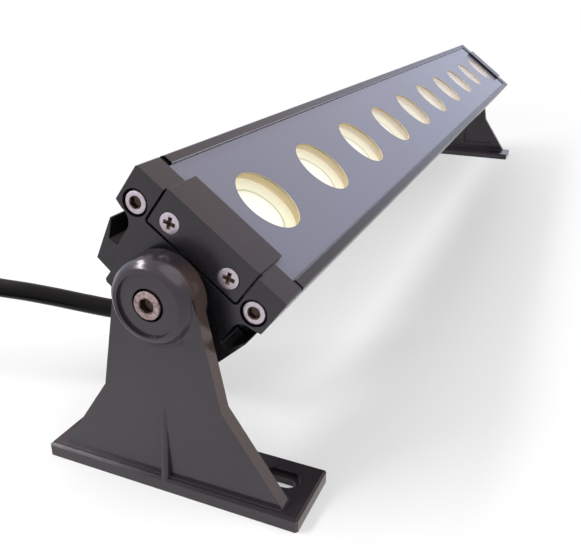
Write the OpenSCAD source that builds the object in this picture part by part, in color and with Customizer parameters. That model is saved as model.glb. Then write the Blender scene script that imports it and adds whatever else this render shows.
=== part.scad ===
// Outdoor wall washer light: a tilting extruded head between two cast brackets.
// Millimetres, +Z up. X runs along the head, the glass faces -Y and +Z, and the origin lies on the
// mounting surface, midway between the brackets and under the pivot axis.

/* [Head] */
// Overall length of the head, end caps included
head_len = 600; // [480:10:1000]
// Width of the head across the glass side
head_w = 65.5; // [62:0.5:76]
// Depth of the head from the glass side to the underside
head_h = 45; // [44:0.5:56]
// Tilt of the glass side at rest
tilt = 36.8; // [20:0.1:50]
// Height of the flat band along each side
band_h = 15.5; // [15:0.1:17]
// Mouth width of the side channels
mouth_w = 7.2; // [6.6:0.1:8]
// Depth of the side channels
chan_depth = 8.8; // [8:0.1:9.4]
// Wall thickness of the extrusion
wall = 2.5; // [2:0.1:3]
// Width of the rims that frame the glass
rim_w = 4.2; // [3.6:0.1:4.6]

/* [Ends] */
// Thickness of the end caps
cap_t = 12.7; // [12:0.1:16]
// Thickness of the seals between caps and housing
seal_t = 1.4; // [1:0.1:2]
// Width of the clamps over the glass ends
clamp_w = 39.9; // [36:0.1:41]
// Depth of the clamp's front leg down the end cap
clamp_drop = 13.5; // [12:0.1:14]
// Thickness of the clamp's front leg
clamp_t = 3.2; // [2.8:0.1:4]
// Reach of the clamp's top leg over the glass
clamp_reach = 17.5; // [16:0.1:22]

/* [Optics] */
// Number of light windows
windows = 10; // [6:1:12]
// Distance of the first window's centre from the end
window_end = 43.7; // [40:0.05:46]
// Radius of each window in the mask sheet
window_r = 14.2; // [12.8:0.1:14.2]
// Thickness of the front glass
glass_t = 3.2; // [3:0.1:3.8]
// Depth of the glass below the rims
glass_sink = 1.2; // [1:0.1:1.4]

/* [Brackets] */
// Height of the pivot axis above the mounting surface
pivot_h = 75.1; // [72:0.1:100]
// Length of the bracket's base along Y
base_len = 104.6; // [100:0.1:120]
// Width of the bracket's base along X
base_w = 28.65; // [27:0.05:34]
// Thickness of the base
base_t = 5.3; // [4.5:0.1:7]
// Thickness of the upright
web_t = 5.2; // [4.8:0.1:7]
// Radius of the round boss at the pivot
boss_r = 15.6; // [15:0.1:19]
// Width of the mounting slots
slot_w = 5.5; // [4.5:0.1:6.5]
// Length of the mounting slots from end to end
slot_len = 12.5; // [10:0.1:14]
// Distance of each mounting slot's centre from the end of the base
slot_end = 14.6; // [12:0.1:20]

/* [Fasteners] */
// Thread diameter of the pivot screws
pivot_d = 6; // [5:0.5:6]
// Thread diameter of the end cap screws
cap_screw_d = 5; // [4:0.5:5]
// Thread diameter of the clamp screws
clamp_screw_d = 4; // [3:0.5:4]

/* [Cable] */
// Diameter of the supply cord
cord_d = 8.6; // [7:0.1:9]
// Turns of the coiled length
coil_turns = 2.58; // [1.5:0.01:2.6]
// Distance between neighbouring turns
coil_pitch = 9.2; // [9.2:0.1:11]

/* [Hidden] */
$fn = 64;

// General clearances
over = 2;          // overrun of every cut
fit = 0.05;        // radial clearance of screws, plugs and shafts
play = 0.1;        // running gap between faces that turn against each other
half_len = head_len / 2;

// Colours
coat = "#4b4d50";
steel = "#c9cbcc";
rubber = "#17181a";

// Head outline. Depths are measured down from the glass side, insets in from the side bands.
pivot_drop = 27.7;       // depth of the pivot axis below the glass side
edge_ch = 0.6;           // chamfer of the rim's outer edge
mouth_in = 3.4;          // inset of the channel's upper mouth edge
mouth_bevel = 1.1;       // fall of the bevel under the side band
chan_r = 5.2;            // round of the channel's upper inner corner
chan_foot_r = 1.2;       // round of the channel's lower inner corner
chan_sink = 7.1;         // depth of the channel floor below the lip
lip_in = 1.6;            // inset of the lip's tip
lip_tip = 0.5;           // thickness of the lip at its tip
lip_foot = 2.1;          // thickness of the lip at the channel floor
hip_in = 5.05;           // inset of the lower hip
hip_h = 5.4;             // height of the hip above the underside
hip_fall = 0.6;          // fall of the hip's lower face
foot_in = 11.8;          // inset of the underside
foot_ch = 0.9;           // chamfer of the underside's edges
chan_top = band_h + mouth_bevel;
lip_v = band_h + mouth_w;
chan_floor = lip_v + chan_sink;
hip_v = head_h - hip_h;
lip_slope = (hip_in - lip_in) / (hip_v - lip_v);
lip_foot_u = lip_in + lip_slope * (chan_floor - lip_v) + lip_foot;

// Chambers of the extrusion
glass_side_gap = 0.3;    // gap between the glass and the rims
mask_t = 0.5;            // thickness of the sheet bonded to the outside of the glass
gasket_t = 1.6;          // thickness of the seal under the glass
ledge_w = 6.3;           // ledge that carries that seal
plate_v = 17.6;          // depth of the plate between the two chambers
recess_v = glass_sink + glass_t + gasket_t;
recess_half = head_w / 2 - rim_w;
upper_half = recess_half - ledge_w;
lower_half = head_w / 2 - chan_depth - wall;
pocket_half = head_w / 2 - hip_in - wall;
floor_half = head_w / 2 - foot_in - wall;
floor_v = head_h - wall;
lower_top_v = plate_v + wall;
housing_len = head_len - 2 * (cap_t + seal_t);

// End cap screws, in ports of the extrusion
port_in = 6.3;
port_v = 11.4;
port_y = head_w / 2 - port_in;
cap_screw_r = cap_screw_d / 2;
cap_head_over = 1.6;     // how far the head stands out beyond the thread
cap_head_r = cap_screw_r + cap_head_over;
cap_head_h = cap_screw_d;
cap_screw_len = 20;
cap_bore_gap = 0.8;      // radial gap round the screw head
cap_head_sink = 0.2;     // depth of the screw head below the face

seal_sink = 0.35;        // depth of the end seals below the head's outline

// Clamps and their screws
clamp_gap = 0.75;        // shadow gap round the clamp
clamp_rise = 1.5;        // height of the top leg above the rims
clamp_corner = 0.8;      // round of the clamp's lower corners
clamp_screw_y = 13.1;
clamp_screw_v = 8.1;
clamp_head_over = 1.7;   // how far the head stands out beyond the thread
clamp_head_r = clamp_screw_d / 2 + clamp_head_over;
clamp_head_h = 2.1;
clamp_screw_len = 10;
cross_w = 0.8;           // cross recess
cross_len = 4.2;
cross_deep = 1.4;

// Optics behind the glass
glass_end_gap = 0.3;     // gap between the glass and the end caps
gasket_side = 5.2;       // width of the seal's long sides
gasket_end = 5;          // width of the seal's ends
cup_over = 2;            // how far the cups are wider than the windows
cup_wall = 1.5;
cup_rim_gap = 0.1;       // gap between cup and glass
cup_step_v = 8.1;        // depth of the straight wall's lower end
cone_fall = 1.8;         // height of the pale cone under the wall
cone_in = 4.7;           // how far the cone closes
lens_t = 1.5;
lens_over = 1.5;         // how far the lens is wider than the cone's mouth
board_t = 1.6;
board_w = 40;
board_end = 4;           // gap between the board and the housing's ends
emitter_w = 5;
emitter_t = 1.5;
board_screw_r = 1.5;
board_head_r = 2.8;
board_head_h = 2.2;
board_screw_y = 14;
glass_half = half_len - cap_t - glass_end_gap;
cup_v = recess_v - gasket_t + cup_rim_gap;
cup_in_r = window_r + cup_over;
cup_out_r = cup_in_r + cup_wall;
cone_low_r = cup_in_r - cone_in;
cone_v = cup_step_v + cone_fall;
lens_r = cone_low_r + lens_over;
board_v = plate_v - board_t;
board_len = housing_len - 2 * board_end;
pitch = (head_len - 2 * window_end) / (windows - 1);

// Driver in the lower chamber
driver_len = 180;
driver_w = 34;
driver_h = 16;
driver_wall = 1.5;
driver_lid_t = 2;
driver_x = 40;           // centre of the driver along the head
driver_post = 3;         // height of the driver board above the case floor
driver_board_gap = 0.5;
driver_board_t = 1.6;
coil_box = [24, 22, 7];  // transformer
can_r = 3.5;             // capacitors lying on the board
can_len = 18;
can_gap = 6;
wire_r = 1.2;
wire_pitch = 3;
inlet_pitch = 2.8;       // distance between the cores where they leave the sheath
wire_v = 31;             // depth at which the wires reach the driver
wire_rise = 5;
wire_reach = 40;
wire_hole_r = 3.5;
wire_sides = 6;
lean_share = 0.02;       // lean of the wires' upright ends, which gives their outline a side
wire_z = floor_v - wire_v;
wire_hole_x = driver_x - driver_len / 2 - wire_reach / 2;
inner_len = driver_len - 2 * driver_wall;
inner_w = driver_w - 2 * driver_wall;
driver_board_z = driver_wall + driver_post;

// Pivot
gap_x = 2.6;             // gap between end cap and bracket
washer_r = 9;
pivot_r = pivot_d / 2;
pivot_head_over = 2;     // how far the head stands out beyond the thread
pivot_head_r = pivot_r + pivot_head_over;
pivot_head_h = pivot_d;
pivot_bore_gap = 0.65;   // radial gap round the pivot screw's head
pivot_screw_len = 16;
pivot_hole_extra = 1.2;  // depth of the cap's thread below the screw's end
boss_back = 2.4;         // how far the boss stands out behind the upright
boss_rim = 2.75;         // start of the dome behind the upright's front face
boss_foot = 1.1;         // fillet between the dome and the upright
dome_h = 4.4;            // rise of the boss over the upright
dome_in = 4;             // how far the dome draws in
dish_r = 11.2;           // flat recess round the screw
dish_deep = 1.15;
head_above = 0.7;        // how far the screw head stands out of the dish
socket_share = 0.48;     // across-flats of a hex socket, of the head's diameter
socket_deep_share = 0.5; // depth of a hex socket, of the head's height
pivot_seat = gap_x + boss_back + web_t + dome_h - dish_deep - pivot_head_h + head_above;
pivot_into_cap = pivot_screw_len - pivot_seat + play;

// Brackets
base_ch = 0.8;           // chamfer of the base's edges
base_front = 2.6;        // how far the base stands out in front of the upright
neck_y = 23.5;           // half width of the upright at its neck
neck_z = 38.2;           // height of the neck
foot_end = 6.7;          // inset of the upright's foot from the ends of the base
plinth_h = 0.9;
plinth_out = 1.1;        // how far the plinth stands out in front of the upright
plinth_back = 0.5;       // and behind it
rib_r = 1.8;             // half width of the ribs
rib_top = 39;
back_web = 2.6;          // thickness of the upright behind its pocket
flange_w = 8.5;          // border left round the pocket
pocket_top = 52;
pocket_low = 12;
pocket_r = 1.2;
heel_h = 1.4;            // fillet between upright and base
slot_x = 10.3;           // slot centre behind the upright's back face
counter_w = 9.3;         // stepped recess round the slot
counter_extra = 3.8;
counter_deep = 2.3;
upright_top = base_t + plinth_h;
foot_y = base_len / 2 - foot_end;
slot_pitch = base_len - 2 * slot_end;

// Cable gland under the near end
gland_end = 54;          // distance of the gland from the near end
gland_y = 8;
thread_r = 7.9;
gland_af = 19.6;
flange_t = 4;
spigot_r = 7.4;
spigot_h = 7;
seal_h = 5;
seal_t_gland = 1.8;
nut_len = 11;
nut_hex_h = 5;
nut_mouth_wall = 2.3;
thread_in = 9.5;
locknut_h = 4;
inlet_extra = 3;
cord_r = cord_d / 2;
gland_x = gland_end - half_len;
gland_out = flange_t + nut_len;
seal_out_r = cord_r + seal_t_gland;
inlet_top_v = floor_v - thread_in - inlet_extra;

// Supply cord. The route runs from the gland to the start of the coil.
cord_route = [
    [-246, 31, 47], [-246, 37.5, 40.5], [-247, 45, 36], [-248.5, 54, 33.5], [-251, 63.5, 33.5],
    [-255, 76.5, 35.5], [-258.5, 90, 37.5], [-262.5, 103.5, 39.5], [-266.5, 117, 41],
    [-270, 130, 43], [-273, 140.5, 42.5], [-276, 151, 40], [-279, 160.5, 35.5], [-282, 169, 29],
    [-285, 175, 21.5], [-289.5, 181, 15], [-295, 187.5, 10.5], [-302.5, 193.5, 7]
];
cord_sides = 10;
coil_sides = 6;
coil_rings = 24;         // rings in each turn
coil_out = 45;           // how far the coil's centre lies beyond the head's end
coil_y = 148;
coil_start = 67.5;       // angle at which the coil starts
coil_r0 = 60;            // radius of the outermost turn
coil_ease = 2;           // how far the inner end leaves its neighbour
ease_share = 1 / 3;      // part of a turn over which it does so
tie_t = 1;
tie_w = 4;
tie_gap = 0.2;
tie_angles = [140, 320];
tie_lock = [6, 5, 2.4];  // lock of each tie, lying on the coil
core_r = 1.2;
core_off = 1.65;         // distance of the cores from the cord's axis
core_bend = 20;
core_len = 22;
core_step = 4;           // difference between the cores' lengths
ferrule_r = 1.45;
ferrule_len = 7;
coil_x = -half_len - coil_out;
cord_z = tie_t + tie_gap + cord_r;
cord_shift = [gland_x - cord_route[0][0], 0, 0];   // keeps the route at the gland

// Points of an arc about c, from angle a0 to a1
function arc(c, r, a0, a1, n) =
    [for (i = [0:n]) c + r * [cos(a0 + (a1 - a0) * i / n), sin(a0 + (a1 - a0) * i / n)]];

function unit(v) = v / norm(v);

// Arc that rounds the corner at b, between its neighbours a and c
function corner(a, b, c, r, n) =
    let (
        to_a = unit(a - b),
        to_c = unit(c - b),
        half = acos(to_a * to_c) / 2,
        mid = b + unit(to_a + to_c) * r / sin(half),
        from = b + to_a * r / tan(half) - mid,
        to = b + to_c * r / tan(half) - mid,
        a0 = atan2(from[1], from[0]),
        turn = (atan2(to[1], to[0]) - a0 + 540) % 360 - 180
    )
    arc(mid, r, a0, a0 + turn, n);

// Outline with every corner rounded to the radius of the same index, or left sharp at zero
function rounded(pts, radii, n = 5) =
    let (m = len(pts))
    [for (i = [0:m - 1]) each radii[i] > 0
        ? corner(pts[(i + m - 1) % m], pts[i], pts[(i + 1) % m], radii[i], n)
        : [pts[i]]];

// Smooth bend from a to c, drawn towards b
function bend(a, b, c, n) =
    [for (i = [0:n]) let (t = i / n) (1 - t) * (1 - t) * a + 2 * t * (1 - t) * b + t * t * c];

// Right side of the head's outline as [inset, depth], from the glass side to the underside
function side_points() = concat(
    [[edge_ch, 0], [0, edge_ch], [0, band_h], [mouth_in, chan_top]],
    arc([chan_depth - chan_r, chan_top + chan_r], chan_r, -90, 0, 8),
    arc([chan_depth - chan_foot_r, chan_floor - chan_foot_r], chan_foot_r, 0, 90, 4),
    [[lip_foot_u, chan_floor], [lip_in + lip_tip, lip_v], [lip_in, lip_v], [hip_in, hip_v],
     [foot_in, hip_v + hip_fall], [foot_in, head_h - foot_ch], [foot_in + foot_ch, head_h]]
);

// Both sides of an outline given as [half width, depth], in the head's own frame
function both_sides(pts) = concat(
    [for (p = pts) [p[0], pivot_drop - p[1]]],
    [for (i = [len(pts) - 1:-1:0]) [-pts[i][0], pivot_drop - pts[i][1]]]
);

module both_ends() {
    children();
    mirror([1, 0, 0]) children();
}

module both_edges() {
    children();
    mirror([0, 1, 0]) children();
}

// A (y, z) outline drawn out along X from x0
module along_x(x0, length) {
    translate([x0, 0, 0]) rotate([90, 0, 90]) linear_extrude(length) children();
}

// A (x, z) outline drawn out along Y, centred
module along_y(length) {
    rotate([90, 0, 0]) linear_extrude(length, center = true) children();
}

module rod_x(x0, length, r) {
    translate([x0, 0, 0]) rotate([0, 90, 0]) cylinder(h = length, r = r);
}

// The head's own frame: origin on the pivot axis, glass side facing +Z
module head_frame() {
    translate([0, 0, pivot_h]) rotate([tilt, 0, 0]) children();
}

// A slab of the head: half width, depths of its faces, start and length along X
module slab(half, v0, v1, x0, length) {
    along_x(x0, length) polygon(both_sides([[half, v0], [half, v1]]));
}

module head_outline() {
    polygon(both_sides([for (p = side_points()) [head_w / 2 - p[0], p[1]]]));
}

// Tube swept along points, with given directions at its two ends
module tube(pts, r, sides, t0, t1) {
    n = len(pts);
    dirs = [for (i = [0:n - 1]) i == 0 ? unit(t0) : i == n - 1 ? unit(t1) : unit(pts[i + 1] - pts[i - 1])];
    rings = [for (i = [0:n - 1])
        let (side = unit(cross(dirs[i], [0, 0, 1])), rise = cross(side, dirs[i]))
        for (k = [0:sides - 1])
            pts[i] + r * (cos(360 * k / sides) * side + sin(360 * k / sides) * rise)];
    polyhedron(rings, concat(
        [[for (k = [sides - 1:-1:0]) k]],
        [for (i = [0:n - 2], k = [0:sides - 1]) let (a = i * sides, b = (k + 1) % sides)
            each [[a + k, a + b, a + sides + b], [a + k, a + sides + b, a + sides + k]]],
        [[for (k = [0:sides - 1]) (n - 1) * sides + k]]
    ));
}

// Extrusion with side channels, two chambers, screw ports and the holes for cable and screws
module housing() {
    color(coat) head_frame() difference() {
        along_x(-housing_len / 2, housing_len) difference() {
            head_outline();
            glass_recess();
            upper_chamber();
            lower_chamber();
            both_edges_2d() screw_port(cap_screw_r + fit);
        }
        gland_frame() translate([0, 0, -wall - over]) cylinder(h = wall + 2 * over, r = thread_r + fit);
        translate([wire_hole_x, 0, pivot_drop - lower_top_v - over])
            cylinder(h = wall + 2 * over, r = wire_hole_r);
        board_screw_places() translate([0, 0, -board_t - wall - over])
            cylinder(h = wall + over + board_t, r = board_screw_r + fit);
    }
}

module both_edges_2d() {
    children();
    mirror([1, 0]) children();
}

module screw_port(r) {
    translate([port_y, pivot_drop - port_v]) circle(r);
}

module glass_recess() {
    polygon(both_sides([[recess_half, -over], [recess_half, recess_v]]));
}

module upper_chamber() {
    polygon(both_sides([[upper_half, recess_v - over], [upper_half, plate_v]]));
}

// Wide below the channels, narrow between the foot walls
module lower_chamber() {
    polygon(both_sides([
        [lower_half, lower_top_v], [lower_half, chan_floor + wall], [pocket_half, chan_floor + wall],
        [pocket_half, hip_v - wall], [floor_half, hip_v - wall + hip_fall], [floor_half, floor_v]
    ]));
}

// Die-cast cap with the clamp's pocket, two counterbored screw holes and the pivot thread
module end_cap() {
    pocket_edge = clamp_w / 2 + clamp_gap;
    color(coat) head_frame() difference() {
        along_x(-half_len, cap_t) head_outline();
        along_x(-half_len - over, clamp_t + over)
            clamp_front(pocket_edge, -over, clamp_drop + clamp_gap, clamp_corner + clamp_gap);
        both_edges() translate([0, port_y, pivot_drop - port_v]) {
            rod_x(-half_len - over, cap_t + 2 * over, cap_screw_r + 2 * fit);
            rod_x(-half_len - over, over + cap_head_h + cap_head_sink, cap_head_r + cap_bore_gap);
        }
        both_edges() translate([0, clamp_screw_y, pivot_drop - clamp_screw_v])
            rod_x(-half_len, clamp_screw_len + fit, clamp_screw_d / 2 + fit);
        rod_x(-half_len - over, over + pivot_into_cap + pivot_hole_extra, pivot_r + fit);
    }
}

// Front face of the clamp: straight sides, open top, round lower corners
module clamp_front(half, v_top, v_low, r) {
    polygon(rounded(both_sides([[half, v_top], [half, v_low]]), [0, r, r, 0]));
}

// Seal just inside the head's outline, open where the chambers are
module end_gasket() {
    color(rubber) head_frame() along_x(-half_len + cap_t, seal_t) difference() {
        offset(delta = -seal_sink) head_outline();
        glass_recess();
        upper_chamber();
        lower_chamber();
        both_edges_2d() screw_port(cap_screw_r + 2 * fit);
    }
}

module front_glass() {
    color("#7d8790") head_frame()
        slab(recess_half - glass_side_gap, glass_sink, glass_sink + glass_t, -glass_half, 2 * glass_half);
}

// Places one child at each window, on the glass side's plane
module at_windows() {
    for (i = [0:windows - 1])
        translate([window_end - half_len + i * pitch, 0, pivot_drop]) children();
}

module mask_plate() {
    color("#8a9097") head_frame() difference() {
        slab(recess_half - glass_side_gap, glass_sink - mask_t, glass_sink, -glass_half, 2 * glass_half);
        at_windows() translate([0, 0, -recess_v]) cylinder(h = recess_v, r = window_r);
    }
}

module glass_gasket() {
    outer = recess_half - glass_side_gap;
    color(rubber) head_frame() difference() {
        slab(outer, recess_v - gasket_t, recess_v, -glass_half, 2 * glass_half);
        slab(outer - gasket_side, -over, recess_v + over, gasket_end - glass_half,
            2 * (glass_half - gasket_end));
    }
}

// L-shaped plate: flush front leg in the cap's pocket, top leg over the end of the glass
module clamp() {
    color(coat) head_frame() difference() {
        union() {
            along_x(-half_len, clamp_t) clamp_front(clamp_w / 2, -clamp_rise, clamp_drop, clamp_corner);
            slab(clamp_w / 2, -clamp_rise, 0, -half_len, clamp_reach);
        }
        both_edges() translate([0, clamp_screw_y, pivot_drop - clamp_screw_v]) {
            rod_x(-half_len - over, clamp_t + 2 * over, clamp_screw_d / 2 + 2 * fit);
            countersink(-half_len, clamp_head_r + 2 * fit, clamp_screw_d / 2 + 2 * fit, clamp_head_h);
        }
    }
}

module countersink(x0, r_out, r_in, h) {
    translate([x0, 0, 0]) rotate([0, 90, 0]) cylinder(h = h, r1 = r_out, r2 = r_in);
}

// Strips between the clamps' top legs and the mask sheet
module clamp_pads() {
    color(rubber) head_frame() both_ends()
        slab(clamp_w / 2, 0, glass_sink - mask_t, -glass_half, clamp_reach - half_len + glass_half);
}

module clamp_screws() {
    color(steel) head_frame() both_ends() both_edges()
        translate([-half_len, clamp_screw_y, pivot_drop - clamp_screw_v]) difference() {
            union() {
                countersink(0, clamp_head_r, clamp_screw_d / 2, clamp_head_h);
                rod_x(0, clamp_screw_len, clamp_screw_d / 2);
            }
            for (a = [0, 90]) rotate([a, 0, 0])
                cube([2 * cross_deep, cross_w, cross_len], center = true);
        }
}

// Socket cap screw along +X, with the top of its head at x = 0
module socket_screw(head_r, head_h, r, length) {
    difference() {
        union() {
            rod_x(0, head_h, head_r);
            rod_x(0, head_h + length, r);
        }
        translate([-over, 0, 0]) rotate([0, 90, 0])
            cylinder(h = over + head_h * socket_deep_share, r = head_r * socket_share / cos(30), $fn = 6);
    }
}

module cap_screws() {
    color(steel) head_frame() both_ends() both_edges()
        translate([cap_head_sink - half_len, port_y, pivot_drop - port_v])
            socket_screw(cap_head_r, cap_head_h, cap_screw_r, cap_screw_len);
}

// Turned cup: straight wall, pale cone, seat for the lens and a skirt down to the board
module reflector_cups() {
    color("#d8cdb4") head_frame() at_windows() rotate_extrude() polygon([
        [cup_in_r, -cup_v], [cup_out_r, -cup_v], [cup_out_r, -board_v], [lens_r + fit, -board_v],
        [lens_r + fit, -cone_v], [cone_low_r, -cone_v], [cup_in_r, -cup_step_v]
    ]);
}

module diffuser_lenses() {
    color("#f6f7f8") head_frame() at_windows() translate([0, 0, -cone_v - lens_t])
        cylinder(h = lens_t, r = lens_r);
}

module led_emitters() {
    color("#f2e6a8") head_frame() at_windows()
        translate([-emitter_w / 2, -emitter_w / 2, -board_v]) cube([emitter_w, emitter_w, emitter_t]);
}

// Places one child on the board at each fixing screw, between every second pair of windows
module board_screw_places() {
    for (i = [0:2:windows - 2]) both_edges()
        translate([window_end - half_len + (i + 0.5) * pitch, board_screw_y, pivot_drop - board_v])
            children();
}

module led_board() {
    color("#dfe3e2") head_frame() difference() {
        slab(board_w / 2, board_v, plate_v, -board_len / 2, board_len);
        board_screw_places() translate([0, 0, -board_t - over])
            cylinder(h = board_t + 2 * over, r = board_screw_r + 2 * fit);
    }
}

module board_screws() {
    color(steel) head_frame() board_screw_places() {
        cylinder(h = board_head_h, r = board_head_r);
        translate([0, 0, -board_t - wall]) cylinder(h = board_t + wall, r = board_screw_r);
    }
}

// The driver's own frame: middle of its underside, on the floor of the lower chamber
module driver_frame() {
    head_frame() translate([driver_x, 0, pivot_drop - floor_v]) children();
}

// Box standing centred on the driver's floor, lifted to z
module driver_box(size, z) {
    translate([-size[0] / 2, -size[1] / 2, z]) cube(size);
}

module driver_case() {
    color("#b9bcc0") driver_frame() difference() {
        driver_box([driver_len, driver_w, driver_h], 0);
        driver_box([inner_len, inner_w, driver_h], driver_wall);
        for (k = [-1:1]) translate([0, k * wire_pitch, wire_z])
            rod_x(-driver_len / 2 - over, driver_wall + 2 * over, wire_r + fit);
    }
}

module driver_lid() {
    color("#b9bcc0") driver_frame() driver_box([driver_len, driver_w, driver_lid_t], driver_h);
}

module driver_board() {
    board = [inner_len - 2 * driver_board_gap, inner_w - 2 * driver_board_gap, driver_board_t];
    color("#2f6b3f") driver_frame() {
        driver_box(board, driver_board_z);
        for (sx = [-1, 1], sy = [-1, 1])
            translate([sx * (board[0] / 2 - driver_post), sy * (board[1] / 2 - driver_post), driver_wall])
                cylinder(h = driver_post, r = driver_post / 2);
    }
}

module driver_parts() {
    top = driver_board_z + driver_board_t;
    color("#23262b") driver_frame() {
        driver_box(coil_box, top);
        for (side = [-1, 1], k = [0:1])
            translate([side * (coil_box[0] / 2 + can_gap + k * (can_len + can_gap)), 0, top + can_r])
                rotate([0, side * 90, 0]) cylinder(h = can_len, r = can_r);
    }
}

// Three cores from the inlet along the lower chamber to the driver
module supply_wires() {
    end = [driver_x - driver_len / 2 + driver_wall, 0, pivot_drop - wire_v];
    color("#6b4a2e") head_frame() for (k = [-1:1]) {
        start = [gland_x, gland_y + k * inlet_pitch, pivot_drop - inlet_top_v];
        knee = start + [0, 0, wire_rise];
        rest = [gland_x + wire_reach, k * wire_pitch, end[2]];
        stop = [end[0], k * wire_pitch, end[2]];
        tube(concat(bend(start, knee, rest, 8), [stop]), wire_r, wire_sides, [lean_share, 0, 1], [1, 0, 0]);
    }
}

// Two leads from the driver up through the plate to the board
module output_wires() {
    color("#a33a2c") head_frame() for (k = [-1, 1]) {
        y = k * wire_pitch / 2;
        low = driver_h + driver_lid_t - floor_v + pivot_drop + wire_r + play;
        start = [driver_x - driver_len / 2, y, low];
        top = [wire_hole_x, y, pivot_drop - plate_v];
        tube(bend(start, [wire_hole_x, y, low], top, 8), wire_r, wire_sides, [-1, 0, 0], [-lean_share, 0, 1]);
    }
}

// Right end of the flank that runs from the neck and touches the boss
function flank() =
    let (
        reach = [neck_y, neck_z - pivot_h],
        touch = atan2(reach[1], reach[0]) + acos(boss_r / norm(reach))
    )
    [boss_r * cos(touch), pivot_h + boss_r * sin(touch)];

// Upright without its boss: flanks from the boss to the neck, flare to the foot
module upright_outline() {
    polygon([
        flank(), [neck_y, neck_z], [foot_y, upright_top], [foot_y, 0], [-foot_y, 0],
        [-foot_y, upright_top], [-neck_y, neck_z], [-flank()[0], flank()[1]]
    ]);
}

// Half width of the upright at height z, below the boss
function upright_half(z) = z < neck_z
    ? foot_y + (neck_y - foot_y) * (z - upright_top) / (neck_z - upright_top)
    : neck_y + (flank()[0] - neck_y) * (z - neck_z) / (flank()[1] - neck_z);

// One of the two pockets in the upright's back, beside the middle rib
module back_pocket() {
    pts = [
        [rib_r, pocket_low], [upright_half(pocket_low) - flange_w, pocket_low],
        [neck_y - flange_w, neck_z], [upright_half(pocket_top) - flange_w, pocket_top], [rib_r, pocket_top]
    ];
    polygon(rounded(pts, [pocket_r, pocket_r, pocket_r, pocket_r, pocket_r]));
}

// Chamfered rectangle
module chamfered(size, ch) {
    x = size[0] / 2;
    y = size[1] / 2;
    polygon([[ch - x, -y], [x - ch, -y], [x, ch - y], [x, y - ch], [x - ch, y], [ch - x, y], [-x, y - ch],
             [-x, ch - y]]);
}

// Base plate in the bracket's frame, underside on the surface, front edge at x0
module base_plate(x0) {
    translate([x0 + base_w / 2, 0, 0]) intersection() {
        linear_extrude(base_t) chamfered([base_w, base_len], base_ch);
        along_x(-base_w, 2 * base_w) chamfered([base_len, 2 * base_t], base_ch);
        along_y(2 * base_len) chamfered([base_w, 2 * base_t], base_ch);
    }
}

// Round boss: a disc from behind the upright, with a dome that draws in to the dish
module boss(x_front) {
    low = web_t + boss_back;
    rise = boss_rim + dome_h;
    foot_r = boss_r + boss_foot;
    dome = [for (i = [0:8]) [boss_r - dome_in * (1 - cos(90 * i / 8)), rise * sin(90 * i / 8) - boss_rim]];
    boss_frame(x_front) rotate_extrude() polygon(concat([[0, -low], [boss_r, -low]], dome, [[0, dome_h]]));
    intersection() {
        boss_frame(x_front) rotate_extrude()
            polygon([[0, -play], [foot_r, -play], [foot_r, 0], [boss_r - play, boss_foot], [0, boss_foot]]);
        along_x(x_front - web_t, 2 * web_t) upright_outline();
    }
}

// Origin on the pivot axis in the upright's front face, +Z pointing outwards
module boss_frame(x_front) {
    translate([x_front, 0, pivot_h]) rotate([0, -90, 0]) children();
}

// Sloping round rib from the neck to the base's front edge
module front_rib(x_front) {
    slope = atan2(base_front, rib_top - base_t);
    length = norm([base_front, rib_top - base_t]);
    intersection() {
        translate([x_front - base_front, -rib_r, 0]) cube([base_front + rib_r, 2 * rib_r, rib_top]);
        translate([x_front, 0, rib_top]) rotate([0, 180 + slope, 0]) {
            translate([-rib_r, 0, 0]) cylinder(h = length + rib_r, r = rib_r);
            translate([-2 * rib_r, -rib_r, 0]) cube([rib_r, 2 * rib_r, length + rib_r]);
        }
    }
}

// Vertical slot prism: width, end-to-end length along Y
module slot(w, length, z0, h) {
    translate([0, 0, z0]) {
        both_edges() translate([0, (length - w) / 2, 0]) cylinder(h = h, r = w / 2);
        translate([-w / 2, (w - length) / 2, 0]) cube([w, length - w, h]);
    }
}

// Cast bracket at the near end: slotted base, flared upright, round boss over the pivot
module bracket() {
    x_back = -half_len - gap_x - boss_back;
    x_front = x_back - web_t;
    dish_x = x_front - dome_h + dish_deep;
    bore_deep = pivot_head_h - head_above;
    color(coat) difference() {
        union() {
            along_x(x_front, web_t) upright_outline();
            base_plate(x_front - base_front);
            translate([x_front - plinth_out, -foot_y, 0])
                cube([plinth_out + web_t + plinth_back, 2 * foot_y, upright_top]);
            boss(x_front);
            front_rib(x_front);
            translate([x_back, 0, base_t]) along_y(2 * foot_y)
                polygon([[-play, 0], [heel_h, 0], [0, heel_h], [-play, heel_h]]);
        }
        along_x(x_front + back_web, web_t) both_edges_2d() back_pocket();
        translate([0, 0, pivot_h]) {
            rod_x(x_front - dome_h - over, over + dish_deep, dish_r);
            rod_x(dish_x - over, over + bore_deep, pivot_head_r + pivot_bore_gap);
            rod_x(dish_x, web_t + boss_back + dome_h + over, pivot_r + fit);
        }
        both_edges() translate([x_back + slot_x, slot_pitch / 2, 0]) {
            slot(slot_w, slot_len, -over, base_t + 2 * over);
            slot(counter_w, slot_len + counter_extra, base_t - counter_deep, counter_deep + over);
        }
    }
}

module pivot_screw() {
    color(steel) head_frame() translate([-half_len - pivot_seat - pivot_head_h - play, 0, 0])
        socket_screw(pivot_head_r, pivot_head_h, pivot_r, pivot_screw_len);
}

// Washer against the end cap, just clear of the bracket
module pivot_washer() {
    color("#8c8f92") head_frame() difference() {
        rod_x(-half_len - gap_x + play, gap_x - play, washer_r);
        rod_x(-half_len - gap_x - over, gap_x + 2 * over, pivot_r + fit);
    }
}

// The gland's own frame: on the underside, +Z pointing out of the head
module gland_frame() {
    translate([gland_x, gland_y, pivot_drop - head_h]) rotate([180, 0, 0]) children();
}

module hex(across, h) {
    cylinder(h = h, r = across / 2 / cos(30), $fn = 6);
}

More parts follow.
